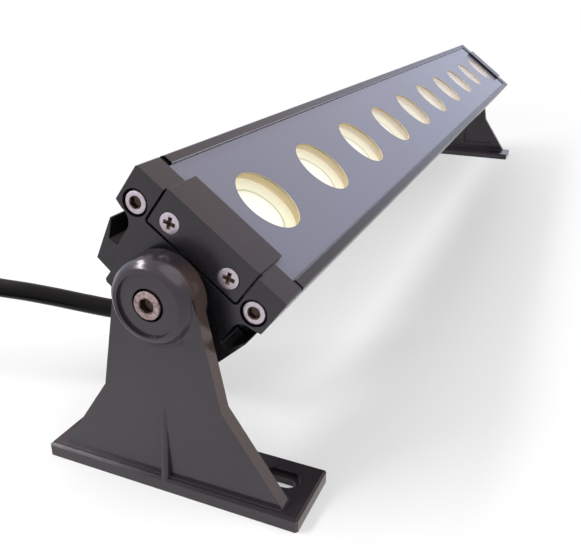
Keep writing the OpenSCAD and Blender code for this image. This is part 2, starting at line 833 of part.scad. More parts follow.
module gland_body() {
    color(rubber) head_frame() gland_frame() difference() {
        union() {
            hex(gland_af, flange_t);
            cylinder(h = flange_t + spigot_h, r = spigot_r);
            translate([0, 0, -wall - thread_in]) cylinder(h = wall + thread_in, r = thread_r);
        }
        translate([0, 0, -wall - thread_in - over])
            cylinder(h = thread_in + wall + flange_t + spigot_h + 2 * over, r = cord_r + 2 * fit);
        translate([0, 0, flange_t + spigot_h - seal_h]) cylinder(h = seal_h + over, r = seal_out_r + fit);
    }
}

module gland_locknut() {
    color("#8c8f92") head_frame() gland_frame() translate([0, 0, -wall - locknut_h]) difference() {
        hex(gland_af, locknut_h);
        translate([0, 0, -over]) cylinder(h = locknut_h + 2 * over, r = thread_r + fit);
    }
}

module gland_seal() {
    color("#3a3a3a") head_frame() gland_frame() translate([0, 0, flange_t + spigot_h - seal_h]) difference() {
        cylinder(h = seal_h, r = seal_out_r);
        translate([0, 0, -over]) cylinder(h = seal_h + 2 * over, r = cord_r + fit);
    }
}

// Nut with a hexagon and a tapering mouth round the cord
module gland_nut() {
    mouth_r = cord_r + nut_mouth_wall;
    color(rubber) head_frame() gland_frame() translate([0, 0, flange_t]) difference() {
        union() {
            hex(gland_af, nut_hex_h);
            translate([0, 0, nut_hex_h])
                cylinder(h = nut_len - nut_hex_h, r1 = gland_af / 2, r2 = mouth_r);
        }
        translate([0, 0, -over]) cylinder(h = spigot_h + over, r = spigot_r + fit);
        cylinder(h = nut_len + over, r = cord_r + fit);
    }
}

// Sheath of the cord inside the gland, up to where its cores part
module cord_inlet() {
    low = floor_v - inlet_top_v + wall;
    color(rubber) head_frame() gland_frame() translate([0, 0, -low])
        cylinder(h = low + gland_out, r = cord_r);
}

// Where the cord leaves the gland, and in which direction
cord_exit_dir = [0, sin(tilt), -cos(tilt)];
gland_foot = [gland_y, pivot_drop - head_h];
cord_exit = [
    gland_x,
    gland_foot[0] * cos(tilt) - gland_foot[1] * sin(tilt) + gland_out * sin(tilt),
    pivot_h + gland_foot[0] * sin(tilt) + gland_foot[1] * cos(tilt) - gland_out * cos(tilt)
];

// Coil: a flat spiral whose inner end eases away from its neighbour, t in turns
function ease(t) = let (s = max(0, min(1, 1 - (coil_turns - t) / ease_share))) s * s * (3 - 2 * s);
function coil_radius(t) = coil_r0 - coil_pitch * t - coil_ease * ease(t);
function coil_point(t) =
    [coil_x, coil_y, cord_z] + coil_radius(t) * [cos(coil_start + 360 * t), sin(coil_start + 360 * t), 0];
function heading(t) = [-sin(coil_start + 360 * t), cos(coil_start + 360 * t), 0];
coil_first = coil_point(0) - cord_d * heading(0);
coil_last = coil_point(coil_turns) + cord_d * heading(coil_turns);
coil_n = ceil(coil_turns * coil_rings);
coil_path = concat([coil_first], [for (i = [0:coil_n]) coil_point(coil_turns * i / coil_n)], [coil_last]);
cord_path = concat([cord_exit], [for (p = cord_route) p + cord_shift], [coil_first]);

module supply_cord() {
    color(rubber) tube(cord_path, cord_r, cord_sides, cord_exit_dir, heading(0));
}

module cord_coil() {
    color(rubber) tube(coil_path, cord_r, coil_sides, heading(0), heading(coil_turns));
}

// Turns of the coil under a tie at the given angle
function turns_at(angle) =
    let (first = ((angle - coil_start) % 360 + 360) % 360 / 360)
    [for (k = [0:ceil(coil_turns)]) if (first + k < coil_turns - ease_share) first + k];

module stadium(x0, x1, r) {
    translate([x0, 0]) circle(r);
    translate([x1, 0]) circle(r);
    translate([x0, -r]) square([x1 - x0, 2 * r]);
}

// Flat bands round the turns, each with a small lock on top
module cord_ties() {
    color(rubber) for (angle = tie_angles) {
        under = turns_at(angle);
        inner = coil_radius(under[len(under) - 1]);
        outer = coil_radius(under[0]);
        band_r = cord_r + tie_gap;
        translate([coil_x, coil_y, cord_z]) rotate([0, 0, angle]) {
            along_y(tie_w) difference() {
                stadium(inner, outer, band_r + tie_t);
                stadium(inner, outer, band_r);
            }
            translate([(inner + outer - tie_lock[0]) / 2, -tie_lock[1] / 2, band_r + tie_t])
                cube(tie_lock);
        }
    }
}

// Frame at the coil's inner end, turned on by a core's length. The core outside in the bend is the
// shortest, so that each straight ferrule leads away from the other cores.
module core_frame(length) {
    translate(coil_last) rotate([0, 0, coil_start + 360 * coil_turns])
        translate([-core_bend, 0, 0]) rotate([0, 0, length / core_bend * 180 / PI]) children();
}

function core_place(k) = core_off * [cos(90 + 120 * k), sin(90 + 120 * k)];
function core_length(k) = core_len + core_step * ((k + 1) % 3);

module core(k) {
    turn = core_length(k) / core_bend * 180 / PI;
    core_frame(0) rotate_extrude(angle = turn) translate([core_bend + core_place(k)[0], core_place(k)[1]])
        circle(core_r, $fn = 24);
}

module core_live() {
    color("#7a4a28") core(0);
}

module core_neutral() {
    color("#2f62a8") core(2);
}

module core_earth() {
    color("#6f9a3a") core(1);
}

module core_ferrules() {
    color(steel) for (k = [0:2])
        core_frame(core_length(k)) translate([core_bend + core_place(k)[0], 0, core_place(k)[1]])
            rotate([-90, 0, 0]) cylinder(h = ferrule_len, r = ferrule_r);
}

// Centre-line length of a path, and the coil's least gap between turns
function path_length(p) = len(p) < 2 ? 0
    : [for (i = [0:len(p) - 2]) norm(p[i + 1] - p[i])] * [for (i = [0:len(p) - 2]) 1];
echo(free_length_mm = path_length(cord_path), coil_length_mm = path_length(coil_path));
echo(least_coil_gap_mm = min([
    for (i = [0:len(coil_path) - 1], j = [i:len(coil_path) - 1])
        if (j - i > coil_rings / 3) norm(coil_path[i] - coil_path[j]) - cord_d
]));

bracket();  // bracket_near
mirror([1, 0, 0]) bracket();  // bracket_far
housing();
end_cap();  // end_cap_near
mirror([1, 0, 0]) end_cap();  // end_cap_far
end_gasket();  // end_gasket_near
mirror([1, 0, 0]) end_gasket();  // end_gasket_far
front_glass();
mask_plate();
glass_gasket();
clamp();  // clamp_near
mirror([1, 0, 0]) clamp();  // clamp_far
clamp_pads();
clamp_screws();
cap_screws();
reflector_cups();
diffuser_lenses();
led_emitters();
led_board();
board_screws();
driver_case();
driver_lid();
driver_board();
driver_parts();
supply_wires();
output_wires();
pivot_screw();  // pivot_screw_near
mirror([1, 0, 0]) pivot_screw();  // pivot_screw_far
pivot_washer();  // pivot_washer_near
mirror([1, 0, 0]) pivot_washer();  // pivot_washer_far
gland_body();
gland_locknut();
gland_seal();
gland_nut();
cord_inlet();
supply_cord();
cord_coil();
cord_ties();
core_live();
core_neutral();
core_earth();
core_ferrules();
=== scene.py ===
"""Looks of the outdoor wall washer light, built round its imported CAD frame. Metres, +Z up."""
import math

import bpy
from mathutils import Matrix, Vector


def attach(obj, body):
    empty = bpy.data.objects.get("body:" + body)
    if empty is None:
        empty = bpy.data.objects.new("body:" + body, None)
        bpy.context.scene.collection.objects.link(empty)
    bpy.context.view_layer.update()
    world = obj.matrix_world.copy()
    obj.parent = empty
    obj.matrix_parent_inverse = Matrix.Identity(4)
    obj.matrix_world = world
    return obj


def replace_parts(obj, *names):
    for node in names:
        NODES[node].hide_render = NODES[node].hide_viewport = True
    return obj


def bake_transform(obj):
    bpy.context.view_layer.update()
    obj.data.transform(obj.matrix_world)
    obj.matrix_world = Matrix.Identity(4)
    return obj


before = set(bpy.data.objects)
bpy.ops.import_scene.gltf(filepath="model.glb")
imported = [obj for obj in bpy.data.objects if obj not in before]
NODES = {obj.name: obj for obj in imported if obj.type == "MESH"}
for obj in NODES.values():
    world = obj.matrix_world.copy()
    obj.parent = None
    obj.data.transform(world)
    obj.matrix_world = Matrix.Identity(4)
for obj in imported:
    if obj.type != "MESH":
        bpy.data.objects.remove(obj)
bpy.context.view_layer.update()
MM = 0.001

# Camera, solved on the photograph: place in metres, axes, lens and sensor in millimetres, and depth in
# metres that it takes in
CAMERA_AT = (-0.47121, -0.11620, 0.16724)
CAMERA_RIGHT = (0.39229, -0.91982, 0.00689)
CAMERA_DOWN = (-0.35802, -0.15958, -0.91998)
CAMERA_FORWARD = (0.84731, 0.35843, -0.39191)
LENS_MM = 41.083
SENSOR_MM = 36.0
CLIP_RANGE = (0.01, 100)

# Tilt of the head, height of its pivot axis, and the head's upward and backward directions
TILT = math.radians(36.8)
PIVOT_H = 75.1 * MM
HEAD_UP = (0, -math.sin(TILT), math.cos(TILT))
HEAD_BACK = (0, math.cos(TILT), math.sin(TILT))

# Glass side of the head: its height over the pivot axis in millimetres, and how far it lies from the origin
# in the head's upward direction
GLASS_OVER_AXIS = 27.7
GLASS_UP = PIVOT_H * HEAD_UP[2] + GLASS_OVER_AXIS * MM

# Rounding of the CAD nodes: distance in millimetres at which vertices are joined, and in degrees the bend
# that still counts as flat, the least one that is rounded, and the least one that stays a sharp edge in the
# shading; and segments of a rounded edge
JOIN_DISTANCE = 0.001
FLAT_ANGLE = 0.4
ROUND_ANGLE = 28
SHARP_ANGLE = 35
ROUND_SEGMENTS = 3

# Depths of the reflector's colours below the glass side, in millimetres, and the colours; the tan of the
# upper wall is painted shade, and the cups glow in these colours as painted light
CUP_DEPTHS = (7.6, 8.1, 9.45, 9.75)
CUP_COLORS = ((0.58, 0.46, 0.22), (0.98, 0.95, 0.66), (0.98, 0.97, 0.70), (0.52, 0.54, 0.32))

# Places that a coat is painted at, in millimetres: half width and depth of the painted highlight in the gap
# round the glass, half length of the housing inside the black bands at its ends, distance of an upright's
# outer face from the middle, height of the base, radius of the black ring of painted shade round a pivot
# screw, and width over which a colour sets in
GAP_HIGHLIGHT_HALF = 28.7
GAP_HIGHLIGHT_DEPTH = 3
BARE_HALF = 284.5
WEB_FRONT = 310.1
BASE_T = 5.3
SHADE_RING_R = 5.8
PAINT_EDGE = 0.1

# Colours that are painted over others
# Pale colour of a painted highlight, laid in the gap round the glass in place of its shade
GAP_HIGHLIGHT = (0.36, 0.36, 0.42)
# Black of the band at the housing's ends and of the painted shade round the pivot screws
BLACK = (0.003, 0.003, 0.003)
# Painted warm light on the brackets' faces turned to -Y
FLANK_WARM_LIGHT = (0.074, 0.050, 0.043)
# Cream of the painted glow on the narrow walls of the windows, in place of their shade
WALL_GLOW_CREAM = (0.70, 0.60, 0.42)
LOW_ANGLE_GLASS = (1.0, 0.86, 0.65)

# Screws in the head's own frame, in millimetres: distance of the head's end faces from the middle, and each
# kind's place, sizes, depth of the drive and look
FACE = 300
SCREWS = {
    "cap_screws": dict(at=(FACE - 0.2, 26.45, 16.3), head_r=4.1, head_h=5, shank_r=2.5, length=20, deep=2.5,
                       look="steel"),
    "clamp_screws": dict(at=(FACE, 13.1, 19.6), head_r=3.7, head_h=2.1, shank_r=2, length=10, deep=1.4,
                         look="steel"),
    "pivot_screw": dict(at=(FACE + 14.25, 0, 0), head_r=5, head_h=6, shank_r=3, length=16, deep=3,
                        look="pivot_steel"),
}

# Points to a ring of a screw
RING = 144

# Drives of the screws: width over the flats as a share of the head's radius, half width and half length of
# the cross, its turn, bevel and flare of the mouths, and point under a socket
SOCKET_SHARE = 0.96
CROSS_HALF = (0.68, 2.15)
CROSS_TURN = math.radians(20)
MOUTH_BEVEL = 0.12
CROSS_FLARE = 1.06
SOCKET_BEVEL = 0.22
POINT_DEPTH = 0.7
POINT_SHARE = 0.1

# Knurled heads, in millimetres: number and half depth of the grooves, and how far they stay off the face
# and the underside
KNURLS = 36
KNURL_HALF = 0.07
KNURL_START = 0.6
KNURL_STOP = 0.5

# Points of the screws' profiles, in millimetres: how far behind the face, or before the underside or tip,
# and how far inside the outer radius. Those of the cross are shares of its depth and of its mouth.
CROSS_POINTS = ((1, 0.35), (0.9, 0.55))
CLAMP_RIM = ((0, 0.2), (0.06, 0.06), (0.22, 0))
SOCKET_RIM = ((0, 0.55), (0.14, 0.2), (0.5, 0))
UNDERSIDE = ((0.4, 0.1), (0, 0.3))
TIP = ((0.5, 0), (0, 0.4))

# Supply cord: its length in metres, and the rest in millimetres, degrees and turns as in the part's source
CORD_D = 8.6
CORD_EXIT = (-246, 25.751, 54.030)
CORD_ROUTE = [
    (-246, 31, 47), (-246, 37.5, 40.5), (-247, 45, 36), (-248.5, 54, 33.5), (-251, 63.5, 33.5),
    (-255, 76.5, 35.5), (-258.5, 90, 37.5), (-262.5, 103.5, 39.5), (-266.5, 117, 41),
    (-270, 130, 43), (-273, 140.5, 42.5), (-276, 151, 40), (-279, 160.5, 35.5), (-282, 169, 29),
    (-285, 175, 21.5), (-289.5, 181, 15), (-295, 187.5, 10.5), (-302.5, 193.5, 7),
]
COIL_CENTRE = (-345, 148, 5.5)
COIL_START = 67.5
COIL_RADIUS = 60
COIL_PITCH = 9.2
COIL_TURNS = 2.58
COIL_EASE = 2
EASE_TURNS = 1 / 3
CORE_R = 1.2
CORE_OFF = 1.65
CORE_BEND = 20
CORES = {
    "core_live": dict(length=26, place=90, look="core_brown"),
    "core_earth": dict(length=30, place=210, look="core_green"),
    "core_neutral": dict(length=22, place=330, look="core_blue"),
}

# Fineness of the cord: step of its free part in millimetres, rings to a turn of the coil, steps of a
# straight piece at the coil's ends, steps of a core, and sides of the sheath and of a core
CORD_STEP = 2
COIL_RINGS = 120
LEAD_STEPS = 4
CORE_STEPS = 24
CORD_SIDES = 28
CORE_SIDES = 20

# Lamps: level of the room, the sun with its spread in degrees, the near boss, and the strips that face it,
# in metres. The shine strips show in gloss alone.
WORLD_LIGHT = 0.5
SUN = dict(direction=(-0.05, 0.45, -0.9), strength=1.0, spread=60)
BOSS = (-0.31, 0, 0.08)
STRIPS = {
    "strip": dict(start=(-1.43, 0.98, 0.90), end=(-0.20, 0.93, 1.22), width=0.2, power=15),
    "shine_low": dict(start=(-1.43, 1.08, 0.90), end=(-0.20, 1.03, 1.22), width=0.28, power=9),
    "shine_high": dict(start=(-0.20, 1.03, 1.22), end=(0.16, 1.11, 1.04), width=0.28, power=5),
}
GLOSS_ONLY = ("shine_low", "shine_high")

# Floor: half its size, how much each axis counts in the distance over which it fades to plain white, and
# where the fading starts and ends, in metres
FLOOR_HALF = 12
FADE_SHARES = (0.28, 1, 1)
FADE_RANGE = (0.055, 0.22)

# Colour of the room, its tint in gloss near the horizon and higher up, and between which heights the tint
# changes
WHITE = (1, 1, 1, 1)
LOW_TINT = (0.86, 0.90, 1.10, 1.0)
HIGH_TINT = (1.20, 1.03, 1.02, 1.0)
TINT_RISE = (0.25, 0.58)

# Sockets of a Mix node that mixes colours: the first, the second and the result
MIX_FIRST = 6
MIX_SECOND = 7
MIX_RESULT = 2


def link(obj):
    bpy.context.scene.collection.objects.link(obj)
    return obj


def mesh_object(name, verts, faces, smooth=True):
    mesh = bpy.data.meshes.new(name)
    mesh.from_pydata([tuple(v) for v in verts], [], faces)
    mesh.validate()
    mesh.polygons.foreach_set("use_smooth", [smooth] * len(mesh.polygons))
    return link(bpy.data.objects.new(name, mesh))


# Nodes
class Net:
    """Short ways to add nodes to a tree and to feed their sockets."""

    def __init__(self, tree):
        self.tree = tree

    def node(self, kind):
        return self.tree.nodes.new(kind)

    def feed(self, value, socket):
        """Joins a socket to another one, or sets it to a value."""
        if isinstance(value, bpy.types.NodeSocket):
            self.tree.links.new(value, socket)
        else:
            socket.default_value = value

    def feed_all(self, values, sockets):
        for value, socket in zip(values, sockets):
            self.feed(value, socket)

    def calculate(self, operation, *values):
        """A step of arithmetic on sockets or numbers."""
        node = self.node("ShaderNodeMath")
        node.operation = operation
        self.feed_all(values, node.inputs)
        return node.outputs["Value"]

    def measure(self, operation, *places):
        """A length, distance or dot product of places or directions."""
        node = self.node("ShaderNodeVectorMath")
        node.operation = operation
        self.feed_all(places, node.inputs)
        return node.outputs["Value"]

    def span(self, value, low, high, new_low, new_high):
        """Maps a value from one range to another."""
        node = self.node("ShaderNodeMapRange")
        names = ("Value", "From Min", "From Max", "To Min", "To Max")
        self.feed_all((value, low, high, new_low, new_high), [node.inputs[name] for name in names])
        return node.outputs["Result"]

    def mix_colors(self, share, first, second):
        node = self.node("ShaderNodeMix")
        node.data_type = "RGBA"
        sockets = (node.inputs["Factor"], node.inputs[MIX_FIRST], node.inputs[MIX_SECOND])
        self.feed_all((share, first, second), sockets)
        return node.outputs[MIX_RESULT]

    def mix_shaders(self, share, first, second):
        node = self.node("ShaderNodeMixShader")
        self.feed_all((share, first, second), node.inputs)
        return node.outputs["Shader"]

    def seen_rays(self):
        """1 for what the camera sees itself, in gloss or through glass."""
        path = self.node("ShaderNodeLightPath")
        total = path.outputs["Is Camera Ray"]
        for name in ("Is Glossy Ray", "Is Transmission Ray"):
            total = self.calculate("MAXIMUM", total, path.outputs[name])
        return total


# Geometry node groups that the pieces' modifiers use
def geometry_net(name):
    group = bpy.data.node_groups.new(name, "GeometryNodeTree")
    for side in ("INPUT", "OUTPUT"):
        group.interface.new_socket("Geometry", in_out=side, socket_type="NodeSocketGeometry")
    return Net(group)


def lead_through(net, *nodes):
    """Leads the geometry from the group's input through the nodes to its output."""
    line = [net.node("NodeGroupInput"), *nodes, net.node("NodeGroupOutput")]
    for first, second in zip(line, line[1:]):
        net.feed(first.outputs[0], second.inputs[0])


def clean_group():
    """Drops the imported normals and joins the vertices that lie on each other."""
    net = geometry_net("clean")
    drop = net.node("GeometryNodeRemoveAttribute")
    net.feed("custom_normal", drop.inputs["Name"])
    merge = net.node("GeometryNodeMergeByDistance")
    net.feed(JOIN_DISTANCE * MM, merge.inputs["Distance"])
    lead_through(net, drop, merge)
    return net.tree


def smooth_group():
    """Smooth shading, with sharp edges where two faces meet at more than the sharp angle."""
    net = geometry_net("smooth_by_angle")
    faces = net.node("GeometryNodeSetShadeSmooth")
    edges = net.node("GeometryNodeSetShadeSmooth")
    edges.domain = "EDGE"
    net.feed(False, edges.inputs["Shade Smooth"])
    over = net.node("FunctionNodeCompare")
    net.feed(net.node("GeometryNodeInputMeshEdgeAngle").outputs["Unsigned Angle"], over.inputs["A"])
    net.feed(math.radians(SHARP_ANGLE), over.inputs["B"])
    net.feed(over.outputs["Result"], edges.inputs["Selection"])
    lead_through(net, faces, edges)
    return net.tree


CLEAN = clean_group()
SMOOTH = smooth_group()


def shade(piece):
    """Smooth shading that leaves the large faces flat."""
    piece.modifiers.new("smooth", "NODES").node_group = SMOOTH
    weigh = piece.modifiers.new("weigh", "WEIGHTED_NORMAL")
    weigh.keep_sharp = True
    return piece


def soften(name, width):
    """Rounds the edges of a CAD node by modifiers alone; width is in millimetres."""
    piece = NODES[name]
    piece.modifiers.new("clean", "NODES").node_group = CLEAN
    flat = piece.modifiers.new("flat", "DECIMATE")
    flat.decimate_type = "DISSOLVE"
    flat.angle_limit = math.radians(FLAT_ANGLE)
    if width:
        bevel = piece.modifiers.new("round", "BEVEL")
        bevel.width = width * MM
        bevel.segments = ROUND_SEGMENTS
        bevel.limit_method = "ANGLE"
        bevel.angle_limit = math.radians(ROUND_ANGLE)
        bevel.harden_normals = False
        bevel.miter_outer = "MITER_ARC"
    return shade(piece)


# Materials
class Shader(Net):
    """A material with one Principled node, and short ways to add what feeds it."""

    def __init__(self, name, color, roughness, metallic=0.0, **sockets):
        self.mat = bpy.data.materials.new(name)
        self.mat.use_nodes = True
        super().__init__(self.mat.node_tree)
        self.main = self.tree.nodes["Principled BSDF"]
        self.color = (*color, 1.0)
        self.set("Base Color", self.color)
        self.set("Roughness", roughness)
        self.set("Metallic", metallic)
        for key, value in sockets.items():
            self.set(key.replace("_", " "), value)
        coordinates = self.node("ShaderNodeTexCoord")
        self.place = coordinates.outputs["Object"]
        self.normal = coordinates.outputs["Normal"]

    def set(self, name, value):
        """Sets a socket of the Principled node to a value, or joins it to another socket."""
        self.feed(value, self.main.inputs[name])

    def show(self, shader):
        """Makes another shader than the Principled node the material's surface."""
        self.feed(shader, self.tree.nodes["Material Output"].inputs["Surface"])

    def scaled(self, factors):
        """The object's coordinates times a factor along each axis."""
        mapping = self.node("ShaderNodeMapping")
        self.feed(factors, mapping.inputs["Scale"])
        self.feed(self.place, mapping.inputs["Vector"])
        return mapping.outputs["Vector"]

    def noise(self, scale, detail=3.0):
        texture = self.node("ShaderNodeTexNoise")
        self.feed(scale, texture.inputs["Scale"])
        self.feed(detail, texture.inputs["Detail"])
        self.feed(self.place, texture.inputs["Vector"])
        return texture.outputs["Fac"]

    def reach(self, direction):
        """How far a place lies in a direction."""
        return self.measure("DOT_PRODUCT", self.place, direction)

    def facing(self, direction):
        """1 where the surface faces a direction, and 0 where it lies along it."""
        return self.measure("DOT_PRODUCT", self.normal, direction)

    def off_axis(self, direction):
        """How far a place lies from the middle of the pivot axis in a direction, to either side."""
        side = self.calculate("SUBTRACT", self.reach(direction), PIVOT_H * direction[2])
        return self.calculate("ABSOLUTE", side)

    def beyond(self, value, limit, edge=PAINT_EDGE * MM):
        """0 up to a limit, and 1 from the edge's width beyond it."""
        return self.span(value, limit, limit + edge, 0, 1)

    def within(self, value, limit, edge=PAINT_EDGE * MM):
        """1 up to a limit, and 0 from the edge's width beyond it."""
        return self.span(value, limit, limit + edge, 1, 0)

    def paint(self, share, color):
        """Lays a colour over the base colour."""
        base = self.main.inputs["Base Color"]
        under = base.links[0].from_socket if base.is_linked else self.color
        self.feed(self.mix_colors(share, under, (*color, 1.0)), base)

    def vary_color(self, value, low, high):
        """Mixes the base colour between two factors of itself."""
        shades = [(*(min(1.0, c * factor) for c in self.color[:3]), 1.0) for factor in (low, high)]
        self.set("Base Color", self.mix_colors(value, *shades))

    def vary_roughness(self, value, low, high):
        self.set("Roughness", self.span(value, 0.3, 0.7, low, high))

    def bump(self, height, distance, strength):
        """Raises the surface; distance is in millimetres."""
        node = self.node("ShaderNodeBump")
        self.feed(strength, node.inputs["Strength"])
        self.feed(distance * MM, node.inputs["Distance"])
        self.feed(height, node.inputs["Height"])
        self.set("Normal", node.outputs["Normal"])


def powder_coat(name, color, roughness, grain, depth, gloss):
    """Satin powder coat: fine orange peel, faint cloudiness and uneven gloss."""
    s = Shader(name, color, roughness, Specular_Tint=(*gloss, 1.0))
    s.vary_color(s.span(s.noise(60), 0.35, 0.65, 0, 1), 0.95, 1.06)
    s.vary_roughness(s.noise(140), roughness - 0.03, roughness + 0.04)
    s.bump(s.noise(grain, 2), depth, 0.2)
    return s


def housing_coat(*values):
    """Powder coat with a pale painted highlight in the gap round the glass, and a black band near each end
    of the back rims.
    """
    s = powder_coat(*values)
    # A pale colour painted into the gap round the glass: a painted highlight in place of the gap's shade
    beside = s.within(s.off_axis(HEAD_BACK), GAP_HIGHLIGHT_HALF * MM, PAINT_EDGE / 2 * MM)
    above = s.beyond(s.reach(HEAD_UP), GLASS_UP - GAP_HIGHLIGHT_DEPTH * MM)
    s.paint(s.calculate("MULTIPLY", beside, above), GAP_HIGHLIGHT)
    # A black band without gloss on the back rims near each end of the housing
    behind = s.beyond(s.reach(HEAD_BACK), PIVOT_H * HEAD_BACK[2], MM)
    ends = s.beyond(s.off_axis((1, 0, 0)), BARE_HALF * MM)
    end_band = s.calculate("MULTIPLY", ends, behind)
    s.paint(end_band, BLACK)
    s.set("Specular IOR Level", s.span(end_band, 0, 1, 0.5, 0))
    return s


def bracket_coat(*values):
    """Powder coat, with painted warm light on the front flank, a black ring of painted shade round the
    pivot screw, and dull on the base's edges.
    """
    s = powder_coat(*values)
    web = s.within(s.off_axis((1, 0, 0)), WEB_FRONT * MM)
    base = s.within(s.reach((0, 0, 1)), (BASE_T - PAINT_EDGE) * MM)
    # Painted warm light on the faces turned to -Y, on the upright's flank and the base
    front = s.span(s.facing((0, -1, 0)), 0.5, 0.8, 0, 1)
    s.paint(s.calculate("MULTIPLY", front, s.calculate("MAXIMUM", web, base)), FLANK_WARM_LIGHT)
    # Black ring of painted shade, without gloss, round the pivot screw
    radius = s.measure("DISTANCE", s.scaled((0, 1, 1)), (0, 0, PIVOT_H))
    shade_ring = s.within(radius, SHADE_RING_R * MM, 2 * PAINT_EDGE * MM)
    s.paint(shade_ring, BLACK)
    rise = s.facing((0, 0, 1))
    slanted = s.calculate("MULTIPLY", s.span(rise, 0.1, 0.2, 0, 0.85), s.span(rise, 0.95, 0.99, 1, 0))
    dull = s.calculate("MAXIMUM", shade_ring, s.calculate("MULTIPLY", slanted, base))
    s.set("Specular IOR Level", s.span(dull, 0, 1, 0.5, 0.05))
    return s


def window_sheet():
    """Lavender grey sheet; the narrow walls of its windows are painted cream, a painted glow in place of
    their shade.
    """
    s = Shader("window_sheet", (0.184, 0.193, 0.264), 0.2)
    s.vary_color(s.span(s.noise(12), 0.3, 0.7, 0, 1), 0.985, 1.015)
    up = s.facing(HEAD_UP)
    # Painted glow on the windows' walls, which face across the sheet, in place of their shade
    s.paint(s.span(up, 0.2, 0.6, 1, 0), WALL_GLOW_CREAM)
    s.set("Specular IOR Level", s.span(up, 0.2, 0.6, 0, 0.5))
    s.vary_roughness(s.noise(40), 0.19, 0.22)
    return s


def rubber(name, color, roughness):
    """Dull rubber with a soft grain."""
    s = Shader(name, color, roughness, Specular_IOR_Level=0.2)
    s.vary_color(s.noise(300), 0.85, 1.2)
    s.bump(s.noise(1800), 0.03, 0.4)
    return s


def moulded(name, color, roughness):
    """Moulded plastic with a faint grain."""
    s = Shader(name, color, roughness)
    s.vary_color(s.noise(90), 0.94, 1.06)
    s.vary_roughness(s.noise(220), roughness - 0.04, roughness + 0.06)
    s.bump(s.noise(2400), 0.02, 0.3)
    return s


def turned_metal(name, color, roughness, marks=0.07):
    """Bright metal with fine marks."""
    s = Shader(name, color, roughness, metallic=1.0)
    s.vary_color(s.span(s.noise(1100), 0.35, 0.65, 0, 1), 1 - marks, 1 + marks)
    s.vary_roughness(s.noise(900, 5), roughness - 0.06, roughness + 0.1)
    s.bump(s.noise(2500, 2), 0.01, 0.3)
    return s


def cord_sheath():
    """Black sheath with a faint grain and soft scuffs."""
    s = Shader("cord_sheath", (0.003, 0.0025, 0.003), 0.28, Specular_IOR_Level=0.12)
    s.vary_color(s.noise(120), 0.8, 1.5)
    s.vary_roughness(s.noise(60), 0.25, 0.31)
    s.bump(s.noise(900, 2), 0.005, 0.2)
    return s


def clear_glass():
    """Clear pane, warmer at a low angle, that lets lamps through to what lies behind it."""
    s = Shader("clear_glass", (0.93, 0.96, 0.98), 0.04, Transmission_Weight=1.0, IOR=1.5)
    s.paint(s.span(s.node("ShaderNodeLayerWeight").outputs["Facing"], 0.55, 0.8, 0, 1), LOW_ANGLE_GLASS)
    s.vary_roughness(s.noise(30), 0.02, 0.05)
    shadow = s.node("ShaderNodeLightPath").outputs["Is Shadow Ray"]
    clear = s.node("ShaderNodeBsdfTransparent").outputs["BSDF"]
    s.show(s.mix_shaders(shadow, s.main.outputs["BSDF"], clear))
    return s


def reflector():
    """Tan wall over a cream cone, with a grey-green line where the cone meets the lens; the tan is painted
    shade on the wall, and the whole cup glows faintly as painted light.
    """
    s = Shader("reflector", (0.62, 0.47, 0.20), 0.35, Specular_IOR_Level=0.1)
    ramp = s.node("ShaderNodeValToRGB")
    low, high = (GLASS_UP - depth * MM for depth in (CUP_DEPTHS[-1], CUP_DEPTHS[0]))
    s.feed(s.span(s.reach(HEAD_UP), low, high, 0, 1), ramp.inputs["Fac"])
    stops = ramp.color_ramp.elements
    while len(stops) < len(CUP_DEPTHS):
        stops.new(0.5)
    for stop, depth, color in zip(stops, reversed(CUP_DEPTHS), reversed(CUP_COLORS)):
        stop.position = (CUP_DEPTHS[-1] - depth) / (CUP_DEPTHS[-1] - CUP_DEPTHS[0])
        stop.color = (*color, 1)
    s.set("Base Color", ramp.outputs["Color"])
    # The cups glow faintly in their own colours: painted light
    s.set("Emission Color", ramp.outputs["Color"])
    s.set("Emission Strength", 0.3)
    s.vary_roughness(s.noise(220), 0.3, 0.42)
    s.bump(s.noise(2400), 0.01, 0.3)
    return s


def opal_lens():
    """White diffuser, evenly lit from behind."""
    s = Shader("opal_lens", (0.90, 0.89, 0.80), 0.35)
    s.set("Emission Color", (1.0, 0.98, 0.84, 1.0))
    s.set("Emission Strength", 0.36)
    s.bump(s.noise(900), 0.02, 0.2)
    s.vary_color(s.noise(200), 0.97, 1.02)
    return s


def circuit_board(name, color):
    """Solder mask with faint tracks."""
    s = Shader(name, color, 0.35)
    s.vary_color(s.span(s.noise(150, 0), 0.48, 0.52, 0, 1), 0.9, 1.08)
    s.bump(s.noise(600), 0.02, 0.3)
    return s


